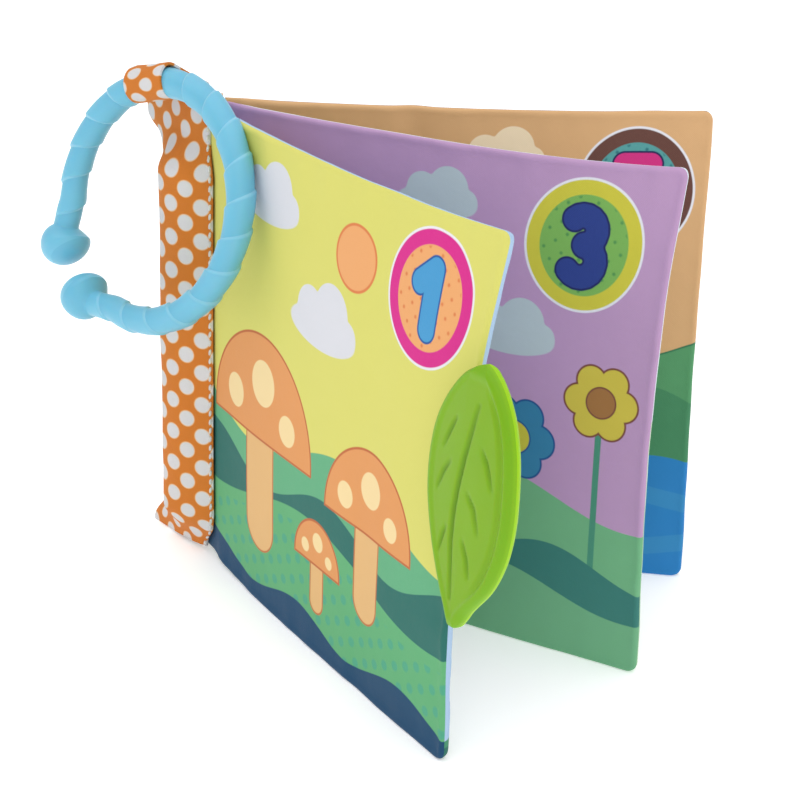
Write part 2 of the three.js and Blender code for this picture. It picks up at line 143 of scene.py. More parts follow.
TEETHER_LENGTH = 77
TEETHER_THICKNESS = 5.5
TEETHER_TILT = -4
TEETHER_REACH = 10
TEETHER_STAND_OFF = 4.6
TEETHER_RIM = 3.6
VALLEY_PLACE = 4.1
VALLEY_DEPTH = 0.85
VALLEY_SPREAD = 2.0
CROWN_HEIGHT = 0.45
MIDRIB_HALF = 1.3
VEIN_HALF = 1.1
VEIN_DEPTH = 0.75
WEB_LENGTH = 52
WEB_THICKNESS = 1.4

# The camera, as the photograph was taken.
CAMERA_PLACE = Vector((631.1, -336.5, 351.5))
CAMERA_YAW = 147.04
CAMERA_PITCH = -22.67
CAMERA_ROLL = 1.51
CAMERA_LENS = 109.78


def lerp(start, end, part):
    return start + (end - start) * part


def limit(value):
    return min(max(value, 0.0), 1.0)


def smooth(value):
    part = limit(value)
    return part * part * (3 - 2 * part)


def crowd_edges(part, crowding):
    """Moves evenly spaced stations towards both ends of a side."""
    return part - crowding * math.sin(2 * math.pi * part) / (2 * math.pi)


# Nodes


class Ink:
    """A material's nodes, and the shapes and colours of its print in millimetres."""

    def __init__(self, name):
        self.material = bpy.data.materials.new(name)
        self.material.use_nodes = True
        self.tree = self.material.node_tree
        self.tree.nodes.clear()

    def node(self, kind, *inputs, **settings):
        made = self.tree.nodes.new("ShaderNode" + kind)
        for name, value in settings.items():
            setattr(made, name, value)
        for socket, value in zip(made.inputs, inputs):
            if isinstance(value, bpy.types.NodeSocket):
                self.tree.links.new(value, socket)
            elif value is not None:
                socket.default_value = value
        return made

    def math(self, operation, *inputs, clamp=False):
        return self.node("Math", *inputs, operation=operation, use_clamp=clamp).outputs[0]

    def vector(self, operation, *inputs):
        made = self.node("VectorMath", *inputs, operation=operation)
        return made.outputs["Value" if operation in ("LENGTH", "DISTANCE") else "Vector"]

    def mix(self, part, first, second, blend="MIX"):
        made = self.node("Mix", data_type="RGBA", blend_type=blend)
        for socket, value in zip((made.inputs[0], made.inputs[6], made.inputs[7]), (part, first, second)):
            if isinstance(value, bpy.types.NodeSocket):
                self.tree.links.new(value, socket)
            else:
                socket.default_value = value
        return made.outputs[2]

    def cloth_place(self, mirrored=False):
        """The printed place of a point, in millimetres from the cloth's corner."""
        uv = self.node("UVMap", uv_map="cloth").outputs[0]
        across = -LEAF_WIDTH if mirrored else LEAF_WIDTH
        start = LEAF_WIDTH if mirrored else 0
        self.place = self.vector("MULTIPLY_ADD", uv, (across, LEAF_HEIGHT, 0), (start, 0, 0))
        split = self.node("SeparateXYZ", self.place)
        self.x, self.y = split.outputs[0], split.outputs[1]

    def solid_place(self):
        """The place of a point in the part's frame, in millimetres."""
        place = self.node("TexCoord").outputs["Object"]
        self.place = self.vector("SCALE", place, None, None, 1 / MM)

    def lumps(self, size, detail=2.0):
        """Uneven patches of about this size, from 0 to 1."""
        return self.node("TexNoise", self.place, None, 1 / size, detail).outputs["Fac"]

    # Distances from a shape's edge, below 0 inside it.

    def disc(self, x, y, radius):
        return self.math("SUBTRACT", self.vector("DISTANCE", self.place, (x, y, 0)), radius)

    def oval(self, x, y, half_width, half_height, turn=0.0):
        spot = self.node(
            "Mapping",
            self.place,
            (x, y, 0),
            (0, 0, math.radians(turn)),
            (half_width, half_height, 1),
            vector_type="TEXTURE",
        ).outputs[0]
        size = min(half_width, half_height)
        return self.math("MULTIPLY_ADD", self.vector("LENGTH", spot), size, -size)

    def stroke(self, x, y, end_x, end_y, half_width):
        """A straight stroke with round ends."""
        length = math.hypot(end_x - x, end_y - y)
        turn = (0, 0, math.atan2(end_y - y, end_x - x))
        spot = self.node("Mapping", self.place, (x, y, 0), turn, (1, 1, 1), vector_type="TEXTURE").outputs[0]
        nearest = self.vector("MINIMUM", self.vector("MAXIMUM", spot, (0, 0, 0)), (length, 0, 0))
        return self.math("SUBTRACT", self.vector("DISTANCE", spot, nearest), half_width)

    def line(self, points, half_width):
        """Strokes from point to point."""
        strokes = [self.stroke(*a, *b, half_width) for a, b in zip(points, points[1:])]
        return self.union(strokes)

    def discs(self, lobes, melt=0.0):
        """Round lobes in one shape, each given by its place and radius."""
        return self.union([self.disc(*lobe) for lobe in lobes], melt)

    def union(self, shapes, melt=0.0):
        whole = shapes[0]
        for shape in shapes[1:]:
            if melt:
                whole = self.math("SMOOTH_MIN", whole, shape, melt)
            else:
                whole = self.math("MINIMUM", whole, shape)
        return whole

    def below(self, height, swing=0.0, wave=60.0, shift=0.0, slope=0.0):
        """Ground under a rolling line."""
        turn = self.math("MULTIPLY_ADD", self.x, 2 * math.pi / wave, shift)
        line = self.math("MULTIPLY_ADD", self.math("SINE", turn), swing, height)
        if slope:
            line = self.math("MULTIPLY_ADD", self.x, slope, line)
        return self.math("SUBTRACT", self.y, line)

    def lattice(self, pitch, radius, turn=0.0, shift=(0.0, 0.0)):
        """Dots on a square lattice."""
        cell = self.node(
            "Mapping",
            self.place,
            (shift[0], shift[1], 0),
            (0, 0, math.radians(turn)),
            (pitch, pitch, 1),
            vector_type="TEXTURE",
        ).outputs[0]
        spot = self.vector("SUBTRACT", self.vector("FRACTION", cell), (0.5, 0.5, 0))
        return self.math("MULTIPLY_ADD", self.vector("LENGTH", spot), pitch, -radius)

    def inside(self, distance, soft=0.16):
        """How much of a point is inside a shape, from 0 to 1."""
        return self.math("MULTIPLY_ADD", distance, -0.5 / soft, 0.5, clamp=True)

    def both(self, first, second):
        return self.math("MAXIMUM", first, second)

    def start(self, colour):
        self.colour = self.mix(0.0, colour, colour)

    def paint(self, distance, colour, soft=0.16):
        self.colour = self.mix(self.inside(distance, soft), self.colour, colour)

    def outlined(self, distance, colour, dark, width=0.7):
        self.paint(self.math("SUBTRACT", distance, width), dark)
        self.paint(distance, colour)

    def shader(self, colour, roughness, height=None, depth=0.1, **sockets):
        """Ends the material; height is a bump in millimetres times depth."""
        made = self.node("BsdfPrincipled")
        if isinstance(colour, bpy.types.NodeSocket):
            self.tree.links.new(colour, made.inputs["Base Color"])
        else:
            made.inputs["Base Color"].default_value = colour
        if isinstance(roughness, bpy.types.NodeSocket):
            self.tree.links.new(roughness, made.inputs["Roughness"])
        else:
            made.inputs["Roughness"].default_value = roughness
        for name, value in sockets.items():
            made.inputs[name.replace("_", " ")].default_value = value
        if height is not None:
            bump = self.node("Bump")
            bump.inputs["Strength"].default_value = 1.0
            bump.inputs["Distance"].default_value = depth * MM
            self.tree.links.new(height, bump.inputs["Height"])
            self.tree.links.new(bump.outputs[0], made.inputs["Normal"])
        end = self.node("OutputMaterial")
        self.tree.links.new(made.outputs[0], end.inputs["Surface"])
        return self.material

    def weave(self, pitch):
        """Threads over and under each other, from -1 to 1."""
        warp = self.math("SINE", self.math("MULTIPLY", self.x, 2 * math.pi / pitch))
        weft = self.math("SINE", self.math("MULTIPLY", self.y, 2 * math.pi / pitch))
        return self.math("MULTIPLY", warp, weft)


def srgb(red, green, blue):
    """A colour from its values as seen on a screen, 0 to 255."""
    values = [channel / 255 for channel in (red, green, blue)]
    return (*[v / 12.92 if v <= 0.04045 else ((v + 0.055) / 1.055) ** 2.4 for v in values], 1.0)


WHITE = srgb(228, 228, 236)
CLOUD = srgb(214, 215, 222)
NAVY = srgb(28, 34, 84)
LEAF_GREEN = srgb(78, 158, 96)
DARK_GREEN = srgb(38, 108, 92)
TEAL = srgb(40, 108, 100)
PATH_GREEN = srgb(96, 172, 118)
NAVY_BLUE = srgb(22, 70, 106)
PINK = srgb(212, 42, 138)


# Numerals and the round badges that hold them


def bend(x, y, radius, start, end, steps=6):
    """Points on an arc, by angle in degrees."""
    turns = [math.radians(lerp(start, end, step / steps)) for step in range(steps + 1)]
    return [(x + radius * math.cos(turn), y + radius * math.sin(turn)) for turn in turns]


NUMERALS = {
    1: [[(-4.4, 3.6), (1.2, 8.2), (0.8, -8.4)]],
    2: [[*bend(0, 3.8, 4.6, 165, -35), (-4.4, -7.8), (5.0, -7.8)]],
    3: [bend(-0.6, 4.3, 4.2, 135, -80, 11), bend(-0.6, -4.4, 4.7, 80, -140, 11)],
    4: [[(1.8, -8.4), (1.8, 8.2), (-5.2, -2.4), (5.6, -2.4)]],
    5: [[(4.4, 8.0), (-3.6, 8.0), (-4.0, 1.4), *bend(-0.4, -3.2, 4.9, 115, -145)]],
    6: [[(3.2, 8.2), (-1.6, 4.4), *bend(0, -3.4, 4.8, 160, 520, 9)]],
}


def badge(ink, number, ring, ground, dots, figure, dark, x=125, y=126.5):
    """A round patch with a numeral in its dotted middle."""
    ink.paint(ink.oval(x, y, 18.1, 19.2), WHITE)
    ink.paint(ink.oval(x, y, 17.4, 18.5), ring)
    ink.paint(ink.oval(x, y, 13.4, 14.4), ground)
    ink.paint(ink.both(ink.lattice(4.0, 0.5, 32), ink.oval(x, y, 13.0, 14.0)), dots, 0.25)
    lines = [[(x + a, y + b) for a, b in points] for points in NUMERALS[number]]
    strokes = ink.union([ink.line(points, 3.3) for points in lines], 1.0)
    ink.outlined(strokes, figure, dark, 0.6)


def cloud(ink, x, y, size, colour=CLOUD):
    """A cloud of round puffs on a flat foot."""
    puffs = [
        ink.oval(x, y, 16 * size, 5.5 * size),
        ink.disc(x - 6 * size, y + 4 * size, 6.5 * size),
        ink.disc(x + 4.5 * size, y + 6 * size, 8 * size),
        ink.disc(x + 12 * size, y + 2 * size, 4.5 * size),
    ]
    ink.paint(ink.union(puffs, 1.5), colour)


def flower(ink, x, y, size, petals, colour, heart, dark):
    """Round petals about a heart."""
    spots = bend(x, y, size, 0, 360, petals)[:-1]
    ink.outlined(ink.discs([(*spot, size * 0.62) for spot in spots], 0.5), colour, dark, 0.6)
    ink.outlined(ink.disc(x, y, size * 0.62), heart, dark, 0.5)


# The pages' pictures


def toadstool(ink, x, foot, size):
    """A spotted toadstool that stands at a height."""
    under = foot + 30 * size
    stalk = ink.stroke(x, foot + 6 * size, x, under, 7 * size)
    ink.outlined(stalk, srgb(224, 180, 122), srgb(190, 112, 66), 0.6)
    cap = ink.both(ink.oval(x, under, 26 * size, 27 * size), ink.math("SUBTRACT", under, ink.y))
    ink.outlined(cap, srgb(222, 152, 92), srgb(190, 104, 60), 0.7)
    for across, up, radius in ((-14, 8, 4.5), (1, 15, 6), (14, 7, 4)):
        spot = ink.disc(x + across * size, under + up * size, radius * size)
        ink.paint(ink.both(spot, cap), srgb(240, 214, 160))


def cover_picture(ink):
    """Page 1: toadstools on rolling hills by a stream, under a yellow sky."""
    ink.start(srgb(214, 211, 110))
    ink.outlined(ink.disc(91, 128, 9), srgb(232, 166, 108), srgb(216, 126, 74), 0.8)
    cloud(ink, 44, 130, 1.0)
    cloud(ink, 76, 102, 1.1)
    ink.paint(ink.below(60, 7, 110, 2.6), srgb(98, 172, 128))
    ink.paint(ink.below(46, 5, 74, 0.9), TEAL)
    ink.paint(ink.below(36, 6, 130, 4.4), PATH_GREEN)
    lawn = ink.below(32, 6, 130, 4.4)
    ink.paint(ink.both(ink.lattice(6.2, 1.55, 24), lawn), srgb(78, 164, 132), 0.3)
    ink.paint(ink.below(9, 3, 60, 1.0), NAVY_BLUE)
    for x, foot, size in ((42, 20, 1.2), (106, 24, 0.9), (78, 14, 0.5)):
        toadstool(ink, x, foot, size)
    ground, dots = srgb(232, 166, 108), srgb(216, 126, 74)
    badge(ink, 1, PINK, ground, dots, srgb(70, 152, 204), srgb(28, 86, 156))


def second_picture(ink):
    """Page 2: flowers on dark hills under a light sky."""
    ink.start(srgb(168, 196, 226))
    cloud(ink, 40, 108, 1.1, WHITE)
    cloud(ink, 88, 78, 0.8, WHITE)
    ink.paint(ink.below(5, 3, 70, 0.5, 0.33), srgb(64, 140, 104))
    ink.paint(ink.below(3, 2, 50, 2.4, 0.16), DARK_GREEN)
    for x, y, size in ((32, 50, 8), (70, 58, 9), (108, 48, 8)):
        ink.paint(ink.stroke(x, 18, x, y, 1.0), LEAF_GREEN)
        flower(ink, x, y, size, 7, srgb(236, 150, 60), srgb(122, 66, 50), srgb(150, 80, 40))
    badge(ink, 2, srgb(238, 214, 60), srgb(240, 240, 236), srgb(190, 208, 226), srgb(214, 54, 60), NAVY)


def third_picture(ink):
    """Page 3: tall flowers on rolling hills, under a lilac sky."""
    ink.start(srgb(186, 150, 190))
    for x, y, size in ((28, 124, 0.9), (78, 132, 0.8), (104, 96, 0.9)):
        cloud(ink, x, y, size, srgb(184, 198, 204))
    ink.paint(ink.below(50, 6, 96, 1.4), srgb(112, 176, 130))
    for x, y, size, petals, heart, dark in (
        (50, 104, 9, srgb(160, 112, 64), srgb(206, 188, 74), srgb(122, 74, 60)),
        (108, 66, 8, srgb(54, 128, 166), srgb(204, 196, 66), srgb(34, 84, 140)),
        (135, 82, 7, srgb(206, 188, 74), srgb(160, 112, 64), srgb(122, 74, 60)),
    ):
        ink.paint(ink.stroke(x, 20, x, y, 1.0), srgb(72, 142, 118))
        flower(ink, x, y, size, 6, petals, heart, dark)
    ink.paint(ink.below(30, 5, 70, 3.4), srgb(56, 122, 114))
    ink.paint(ink.below(20, 5, 88, 0.6), srgb(110, 172, 130))
    ground, dots = srgb(122, 176, 88), srgb(84, 146, 80)
    badge(ink, 3, srgb(204, 196, 66), ground, dots, srgb(44, 64, 136), srgb(30, 36, 92))


def fourth_picture(ink):
    """Page 4: pale hills with small flowers."""
    ink.start(srgb(222, 232, 240))
    cloud(ink, 44, 116, 1.0, WHITE)
    ink.paint(ink.below(74, 7, 130, 0.8), srgb(196, 222, 190))
    ink.paint(ink.below(46, 8, 92, 2.0), srgb(164, 206, 164))
    for x, y in ((24, 52), (58, 64), (92, 50), (124, 62)):
        ink.paint(ink.stroke(x, 26, x, y, 0.9), LEAF_GREEN)
        flower(ink, x, y, 6, 6, srgb(232, 120, 150), srgb(244, 214, 90), srgb(170, 60, 100))
    badge(ink, 4, srgb(90, 176, 96), srgb(250, 226, 120), srgb(232, 178, 70), srgb(220, 70, 50), NAVY)


def fifth_picture(ink):
    """Page 5: a green shore and the sea, with the sun in a peach sky."""
    ink.start(srgb(214, 170, 122))
    cloud(ink, 48, 100, 1.0, srgb(238, 218, 186))
    cloud(ink, 84, 134, 0.8, srgb(238, 218, 186))
    ink.outlined(ink.disc(30, 128, 12), srgb(246, 214, 96), srgb(226, 150, 62), 1.0)
    ink.outlined(ink.below(78, 6, 90, 2.6), srgb(86, 152, 104), srgb(56, 120, 86), 0.6)
    ink.paint(ink.below(60, 5, 60, 0.4), srgb(70, 136, 96))
    ink.paint(ink.below(40, 1.6, 44, 1.0), srgb(40, 128, 196))
    for height, shift in ((28, 0.0), (12, 2.4)):
        band = ink.math("ABSOLUTE", ink.below(height, 3, 90, shift))
        ink.paint(ink.math("SUBTRACT", band, 3.0), srgb(54, 138, 196))
    ground, dots = srgb(84, 156, 156), srgb(50, 118, 124)
    badge(ink, 5, srgb(102, 66, 58), ground, dots, srgb(206, 48, 128), NAVY)


STARS = ((80, 96, 1.6), (20, 78, 1.3), (66, 132, 1.5), (58, 82, 1.0), (98, 76, 1.4), (132, 90, 1.2))


def sixth_picture(ink):
    """Page 6: a night sky with stars over the hills."""
    ink.start(srgb(40, 58, 110))
    ink.outlined(ink.disc(42, 112, 15), srgb(244, 232, 170), srgb(92, 108, 150), 2.0)
    ink.paint(ink.disc(49, 117, 12), srgb(40, 58, 110))
    for x, y, size in STARS:
        arms = [ink.stroke(x - size * 1.6, y, x + size * 1.6, y, size * 0.4)]
        arms.append(ink.stroke(x, y - size * 1.6, x, y + size * 1.6, size * 0.4))
        ink.paint(ink.union(arms, 1.0), srgb(250, 240, 190))
    ink.paint(ink.below(48, 8, 110, 0.6), srgb(30, 78, 84))
    ink.paint(ink.below(30, 7, 80, 2.6), srgb(24, 60, 68))
    badge(ink, 6, srgb(150, 110, 190), srgb(238, 226, 150), srgb(214, 180, 90), srgb(70, 140, 90), NAVY)


# Materials


def printed_page(name, picture, mirrored):
    """Smooth printed polyester: fine threads, faint unevenness and a soft sheen."""
    ink = Ink(name)
    ink.cloth_place(mirrored)
    picture(ink)
    worn = ink.mix(ink.lumps(38), (0.955, 0.955, 0.95, 1), (1.0, 1.0, 1.0, 1))
    colour = ink.mix(1.0, ink.colour, worn, "MULTIPLY")
    threads = ink.math("MULTIPLY", ink.weave(0.55), 0.3)
    height = ink.math("ADD", threads, ink.math("MULTIPLY", ink.lumps(5), 2.4))
    roughness = ink.math("MULTIPLY_ADD", ink.lumps(12), 0.12, 0.56)
    return ink.shader(
        colour, roughness, height, 0.06, Sheen_Weight=0.03, Sheen_Roughness=0.4, Specular_IOR_Level=0.22
    )


def dotted_cotton():
    """Plain-woven orange cotton with white dots."""
    ink = Ink("dotted_cotton")
    ink.cloth_place()
    ink.start(srgb(212, 124, 46))
    dots = ink.lattice(DOT_PITCH / math.sqrt(2), DOT_RADIUS, 45, DOT_START)
    ink.paint(ink.math("SUBTRACT", dots, 0.25), srgb(238, 196, 140), 0.2)
    ink.paint(dots, srgb(218, 217, 220), 0.22)
    worn = ink.mix(ink.lumps(9), (0.93, 0.93, 0.92, 1), (1.0, 1.0, 1.0, 1))
    threads = ink.weave(0.62)
    shade = ink.mix(ink.math("MULTIPLY_ADD", threads, 0.5, 0.5), (0.94, 0.93, 0.92, 1), (1.0, 1.0, 1.0, 1))
    colour = ink.mix(1.0, ink.mix(1.0, ink.colour, worn, "MULTIPLY"), shade, "MULTIPLY")
    height = ink.math("ADD", ink.math("MULTIPLY", threads, 0.6), ink.math("MULTIPLY", ink.lumps(4), 2.5))
    return ink.shader(
        colour, 0.85, height, 0.08, Sheen_Weight=0.06, Sheen_Roughness=0.5, Specular_IOR_Level=0.2
    )


def plain_cloth(name, colour, pitch=0.6):
    """Unprinted woven cloth, for tapes and thread."""
    ink = Ink(name)
    ink.solid_place()
    split = ink.node("SeparateXYZ", ink.place)
    ink.x, ink.y = split.outputs[0], split.outputs[2]
    shade = ink.mix(ink.lumps(3), (0.9, 0.9, 0.9, 1), (1.0, 1.0, 1.0, 1))
    return ink.shader(ink.mix(1.0, colour, shade, "MULTIPLY"), 0.8, ink.weave(pitch), 0.08, Sheen_Weight=0.2)


def ring_plastic():
    """Light blue moulded plastic with a soft shine. Its twisted bands carry painted highlights and painted
    shade.
    """
    ink = Ink("ring_plastic")
    ink.solid_place()
    split = ink.node("SeparateXYZ", ink.node("UVMap", uv_map="cloth").outputs[0])
    band = ink.math("FRACT", split.outputs[0])
    # Painted highlight: a thin lighter line along the edge of each twisted band, faded out towards the balls.
    edge_highlight = ink.inside(ink.math("SUBTRACT", 0.93, band), 0.03)
    edge = ink.math("MULTIPLY", ink.math("SUBTRACT", 1.0, split.outputs[1]), edge_highlight)
    colour = ink.mix(ink.lumps(14), srgb(98, 176, 206), srgb(106, 184, 212))
    # Painted shading: each band is painted lighter towards its edge, as its facet turns to the light.
    colour = ink.mix(ink.math("MULTIPLY", band, 0.4), colour, srgb(122, 196, 222))
    # Mixes in the painted highlight along the band edges.
    colour = ink.mix(ink.math("MULTIPLY", edge, 0.24), colour, srgb(176, 222, 238))
    roughness = ink.math("MULTIPLY_ADD", ink.lumps(4, 3.0), 0.12, 0.3)
    return ink.shader(
        colour,
        roughness,
        ink.lumps(1.6, 3.0),
        0.05,
        Subsurface_Weight=0.2,
        Subsurface_Scale=0.004,
        Specular_IOR_Level=0.45,
    )


def teether_rubber():
    """Soft green silicone with a fine matt skin: a painted highlight makes its thin rim bright, and painted
    shade makes it darker beside the rim and in its pressed lines."""
    ink = Ink("teether_rubber")
    ink.solid_place()
    split = ink.node("SeparateXYZ", ink.node("UVMap", uv_map="cloth").outputs[0])
    face = ink.mix(ink.lumps(18), srgb(119, 165, 10), srgb(126, 172, 16))
    # Painted shade: the pressed midrib and veins are painted darker by their depth.
    lines = ink.mix(split.outputs[1], face, srgb(92, 136, 4))
    # Painted highlight: points near the rim are painted bright.
    past_rim = ink.math("MULTIPLY", split.outputs[0], 4.0, clamp=True)
    # Painted shade: the valley just inside the rim is painted darker.
    past_valley = ink.math("MULTIPLY_ADD", split.outputs[0], 2.2, -1.0, clamp=True)
    colour = ink.mix(past_rim, srgb(150, 202, 4), ink.mix(past_valley, srgb(114, 168, 0), lines))
    roughness = ink.math("MULTIPLY_ADD", ink.lumps(3, 3.0), 0.14, 0.4)
    return ink.shader(
        colour,
        roughness,
        ink.lumps(0.9, 2.0),
        0.03,
        Subsurface_Weight=0.2,
        Subsurface_Scale=0.004,
        Specular_IOR_Level=0.28,
    )


# Mesh helpers


def add_grid(bm, across, up, place, printed=None, finish=0, turned=False):
    """Adds a grid of cells. place gives each corner's point, and printed its place on the cloth in
    millimetres, both from the shares of the way across and up."""
    made = bmesh.ops.create_grid(bm, x_segments=across, y_segments=up, size=1.0)["verts"]
    shares = {vert: ((vert.co.x + 1) / 2, (vert.co.y + 1) / 2) for vert in made}
    faces = {face for vert in made for face in vert.link_faces}
    layer = bm.loops.layers.uv.get("cloth") or bm.loops.layers.uv.new("cloth")
    for face in faces:
        face.material_index = finish
        for loop in face.loops:
            spot = printed(*shares[loop.vert]) if printed else (0, 0)
            loop[layer].uv = (spot[0] / LEAF_WIDTH, spot[1] / LEAF_HEIGHT)
    for vert in made:
        vert.co = place(*shares[vert])
    if turned:
        bmesh.ops.reverse_faces(bm, faces=list(faces))
    return made


def put(name, data):
    """A new object in the scene."""
    made = bpy.data.objects.new(name, data)
    bpy.context.scene.collection.objects.link(made)
    return made


def finish_piece(name, bm, body, *materials, matrix=TO_PART):
    """Makes a piece of a mesh in millimetres, and lets it ride on its body."""
    bmesh.ops.remove_doubles(bm, verts=bm.verts, dist=0.002)
    bmesh.ops.transform(bm, matrix=matrix, verts=bm.verts)
    for face in bm.faces:
        face.smooth = True
    mesh = bpy.data.meshes.new(name)
    bm.to_mesh(mesh)
    bm.free()
    for material in materials:
        mesh.materials.append(material)
    piece = put(name, mesh)
    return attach(piece, body) if body else piece


# Leaves


def fore_edge(leaf, height):
    """How far the leaf reaches at a height: drawn in between rounded corners."""
    from_end = min(height, LEAF_HEIGHT - height)
    in_corner = max(0.0, LEAF_CORNER - from_end)
    cut = LEAF_CORNER - math.sqrt(LEAF_CORNER**2 - in_corner**2)
    ripple = FORE_RIPPLE * noise.noise(Vector((height / 17, 3.1, 0.4)))
    return LEAF_WIDTH - SHORTER[leaf] - FORE_DRAW * math.sin(math.pi * height / LEAF_HEIGHT) - cut + ripple


def sway(leaf, along, height):
    """How far the leaf bends off its own plane, twisted between its foot and its top."""
    part = limit(along / LEAF_WIDTH)
    foot = -FORE_SWAY[leaf] * math.sin(math.pi / 2 * part)
    return lerp(foot, TOP_SWAY * part**3, (height / LEAF_HEIGHT) ** SWAY_TURN[leaf])


def soft_fold(leaf, along):
    """How far the leaf's upright folds push it back."""
    folds = SOFT_FOLDS[leaf]
    return sum(size * math.exp(-(((along - place) / width) ** 2)) for place, width, size in folds)


def corner_rise(leaf, along, height):
    """How far the top fore corner is drawn up."""
    return CORNER_RISE[leaf] * limit(along / LEAF_WIDTH) ** 5 * smooth(height / LEAF_HEIGHT)


def rounded(distance, reach):
    """A rounded edge's share of the full thickness, at a distance from the edge."""
    return math.sqrt(1 - (1 - limit(distance / reach)) ** 2)


def swell(distance):
    """The padding's share of its full thickness, at a distance from a seam."""
    return math.sin(math.pi / 2 * limit(distance / LEAF_SWELL)) ** 0.7


def leaf_half(along, height, fore):
    """Half the leaf's thickness, down to nothing at the seam in the middle of its edge."""
    border = lerp(LEAF_ROOT, LEAF_EDGE, limit((along - ROOT_FLAT) / (2 * ROOT_FLAT))) / 2
    crown = swell(height) * swell(LEAF_HEIGHT - height) * swell(along - ROOT_FLAT) * swell(fore - along)
    edge = rounded(fore - along, EDGE_ROUND) * rounded(height, EDGE_ROUND)
    edge *= rounded(LEAF_HEIGHT - height, EDGE_ROUND) * rounded(along + ROOT_OVERLAP, 0.6)
    return lerp(border, LEAF_CROWN / 2, crown) * edge


def gathers(along, height, fore, seed):
    """Small puckers that the seams pull into the padding."""
    total = 0.0
    sides = ((fore - along, height, 1.3), (height, along, 4.7), (LEAF_HEIGHT - height, along, 8.1))
    for distance, run, row in sides:
        pull = math.exp(-distance / GATHER_REACH) - math.exp(-distance / GATHER_START)
        total += pull * noise.noise(Vector((run / GATHER_LENGTH, row, seed)))
    return GATHER_HEIGHT * total


def soft_leaf(leaf, front_material, back_material):
    """One padded leaf: its two printed panels, sewn together all round."""
    bm = bmesh.new()
    seed = 10.0 * LEAF_ANGLE[leaf] + 2.5

    def spot(across, up):
        height = LEAF_HEIGHT * crowd_edges(up, 0.8)
        fore = fore_edge(leaf, height)
        along = lerp(-ROOT_OVERLAP, fore, crowd_edges(across, 0.8))
        return along, height, fore

    def surface(side):
        def place(across, up):
            along, height, fore = spot(across, up)
            half = leaf_half(along, height, fore)
            layer = 2.5 + LEAF_ANGLE[leaf] / 200
            lump = noise.noise(Vector((along / LUMP_SIZE, height / LUMP_SIZE, layer))) * limit(along / 30)
            pull = gathers(along, height, fore, seed + side) * limit(along / 12)
            from_seam = min(fore - along, height, LEAF_HEIGHT - height)
            middle = sway(leaf, along, height) + LUMP_HEIGHT * lump + soft_fold(leaf, along)
            middle -= SEAM_SHIFT * math.exp(-from_seam / SEAM_SPREAD) * limit((along - 6) / 10)
            lift = foot_lift(along, height) + corner_rise(leaf, along, height)
            return Vector((along, middle + side * half + pull * min(half, 1.0), height + lift))

        return place

    def printed(across, up):
        along, height, _ = spot(across, up)
        return along, height

    add_grid(bm, 120, 120, surface(-1), printed, finish=0)
    add_grid(bm, 120, 120, surface(1), printed, finish=1, turned=True)
    hinge = Vector(JOINTS[leaf + "_leaf_turn"]["pos_m"])
    turn = Matrix.Rotation(math.radians(LEAF_ANGLE[leaf]), 4, "Z")
    matrix = Matrix.Translation(hinge) @ turn @ Matrix.Scale(MM, 4)
    piece = finish_piece(leaf + "_leaf", bm, leaf + "_leaf", front_material, back_material, matrix=matrix)
    parts = ("front_panel", "back_panel", "film", "wadding")
    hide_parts(*[f"{leaf}_leaf_{part}" for part in parts])
    return piece


# Spine


# The sleeve's cross-section, from the flap's free edge round to the back lip: full in the middle of its
# height, and flat at its sewn ends.
FULL_SECTION = (
    (9.3, -1.45), (6.2, -4.9), (2.4, -8.6), (-2.6, -11.2), (-7.6, -11.8), (-11.9, -9.9), (-16.6, -6.8),
    (-21.2, -2.8), (-24.0, 1.6), (-24.6, 6.0), (-22.6, 10.2), (-18.4, 12.9), (-13.4, 13.5), (-9.2, 12.3),
    (-6.4, 10.4), (-4.6, 8.6),
)
FLAT_SECTION = (
    (5.4, -1.4), (3.2, -2.0), (0.6, -2.7), (-3.4, -3.6), (-8.6, -4.2), (-14.0, -4.4), (-19.2, -4.5),
    (-24.4, -4.6), (-29.2, -4.5), (-31.0, -3.1), (-29.2, -1.7), (-23.0, -0.9), (-17.0, 0.4), (-12.2, 3.2),
    (-7.6, 7.0), (-4.6, 8.6),
)


def curve_through(points, turn):
    """A smooth curve through the points, from 0 at the first to 1 at the last."""
    spot = limit(turn) * (len(points) - 1)
    index = min(int(spot), len(points) - 2)
    part = spot - index
    before, first, last, after = (points[min(max(index + k, 0), len(points) - 1)] for k in (-1, 0, 1, 2))
    weights = (
        -0.5 * part + part**2 - 0.5 * part**3,
        1 - 2.5 * part**2 + 1.5 * part**3,
        0.5 * part + 2 * part**2 - 1.5 * part**3,
        -0.5 * part**2 + 0.5 * part**3,
    )
    four = (before, first, last, after)
    return tuple(sum(weight * point[axis] for weight, point in zip(weights, four)) for axis in (0, 1))


def spine_full(height):
    """How full the stuffing is at a height: flat at both ends, and for longer under the strap."""
    return smooth((height - 0.5) / 15) * smooth((LEAF_HEIGHT - height - 10) / 13)


def foot_lift(along, height):
    """The sewn roots draw the lower edges up a little."""
    return FOOT_LIFT * smooth(1 - height / 22) * smooth(1 - along / 42) * smooth(1 + along / 30)


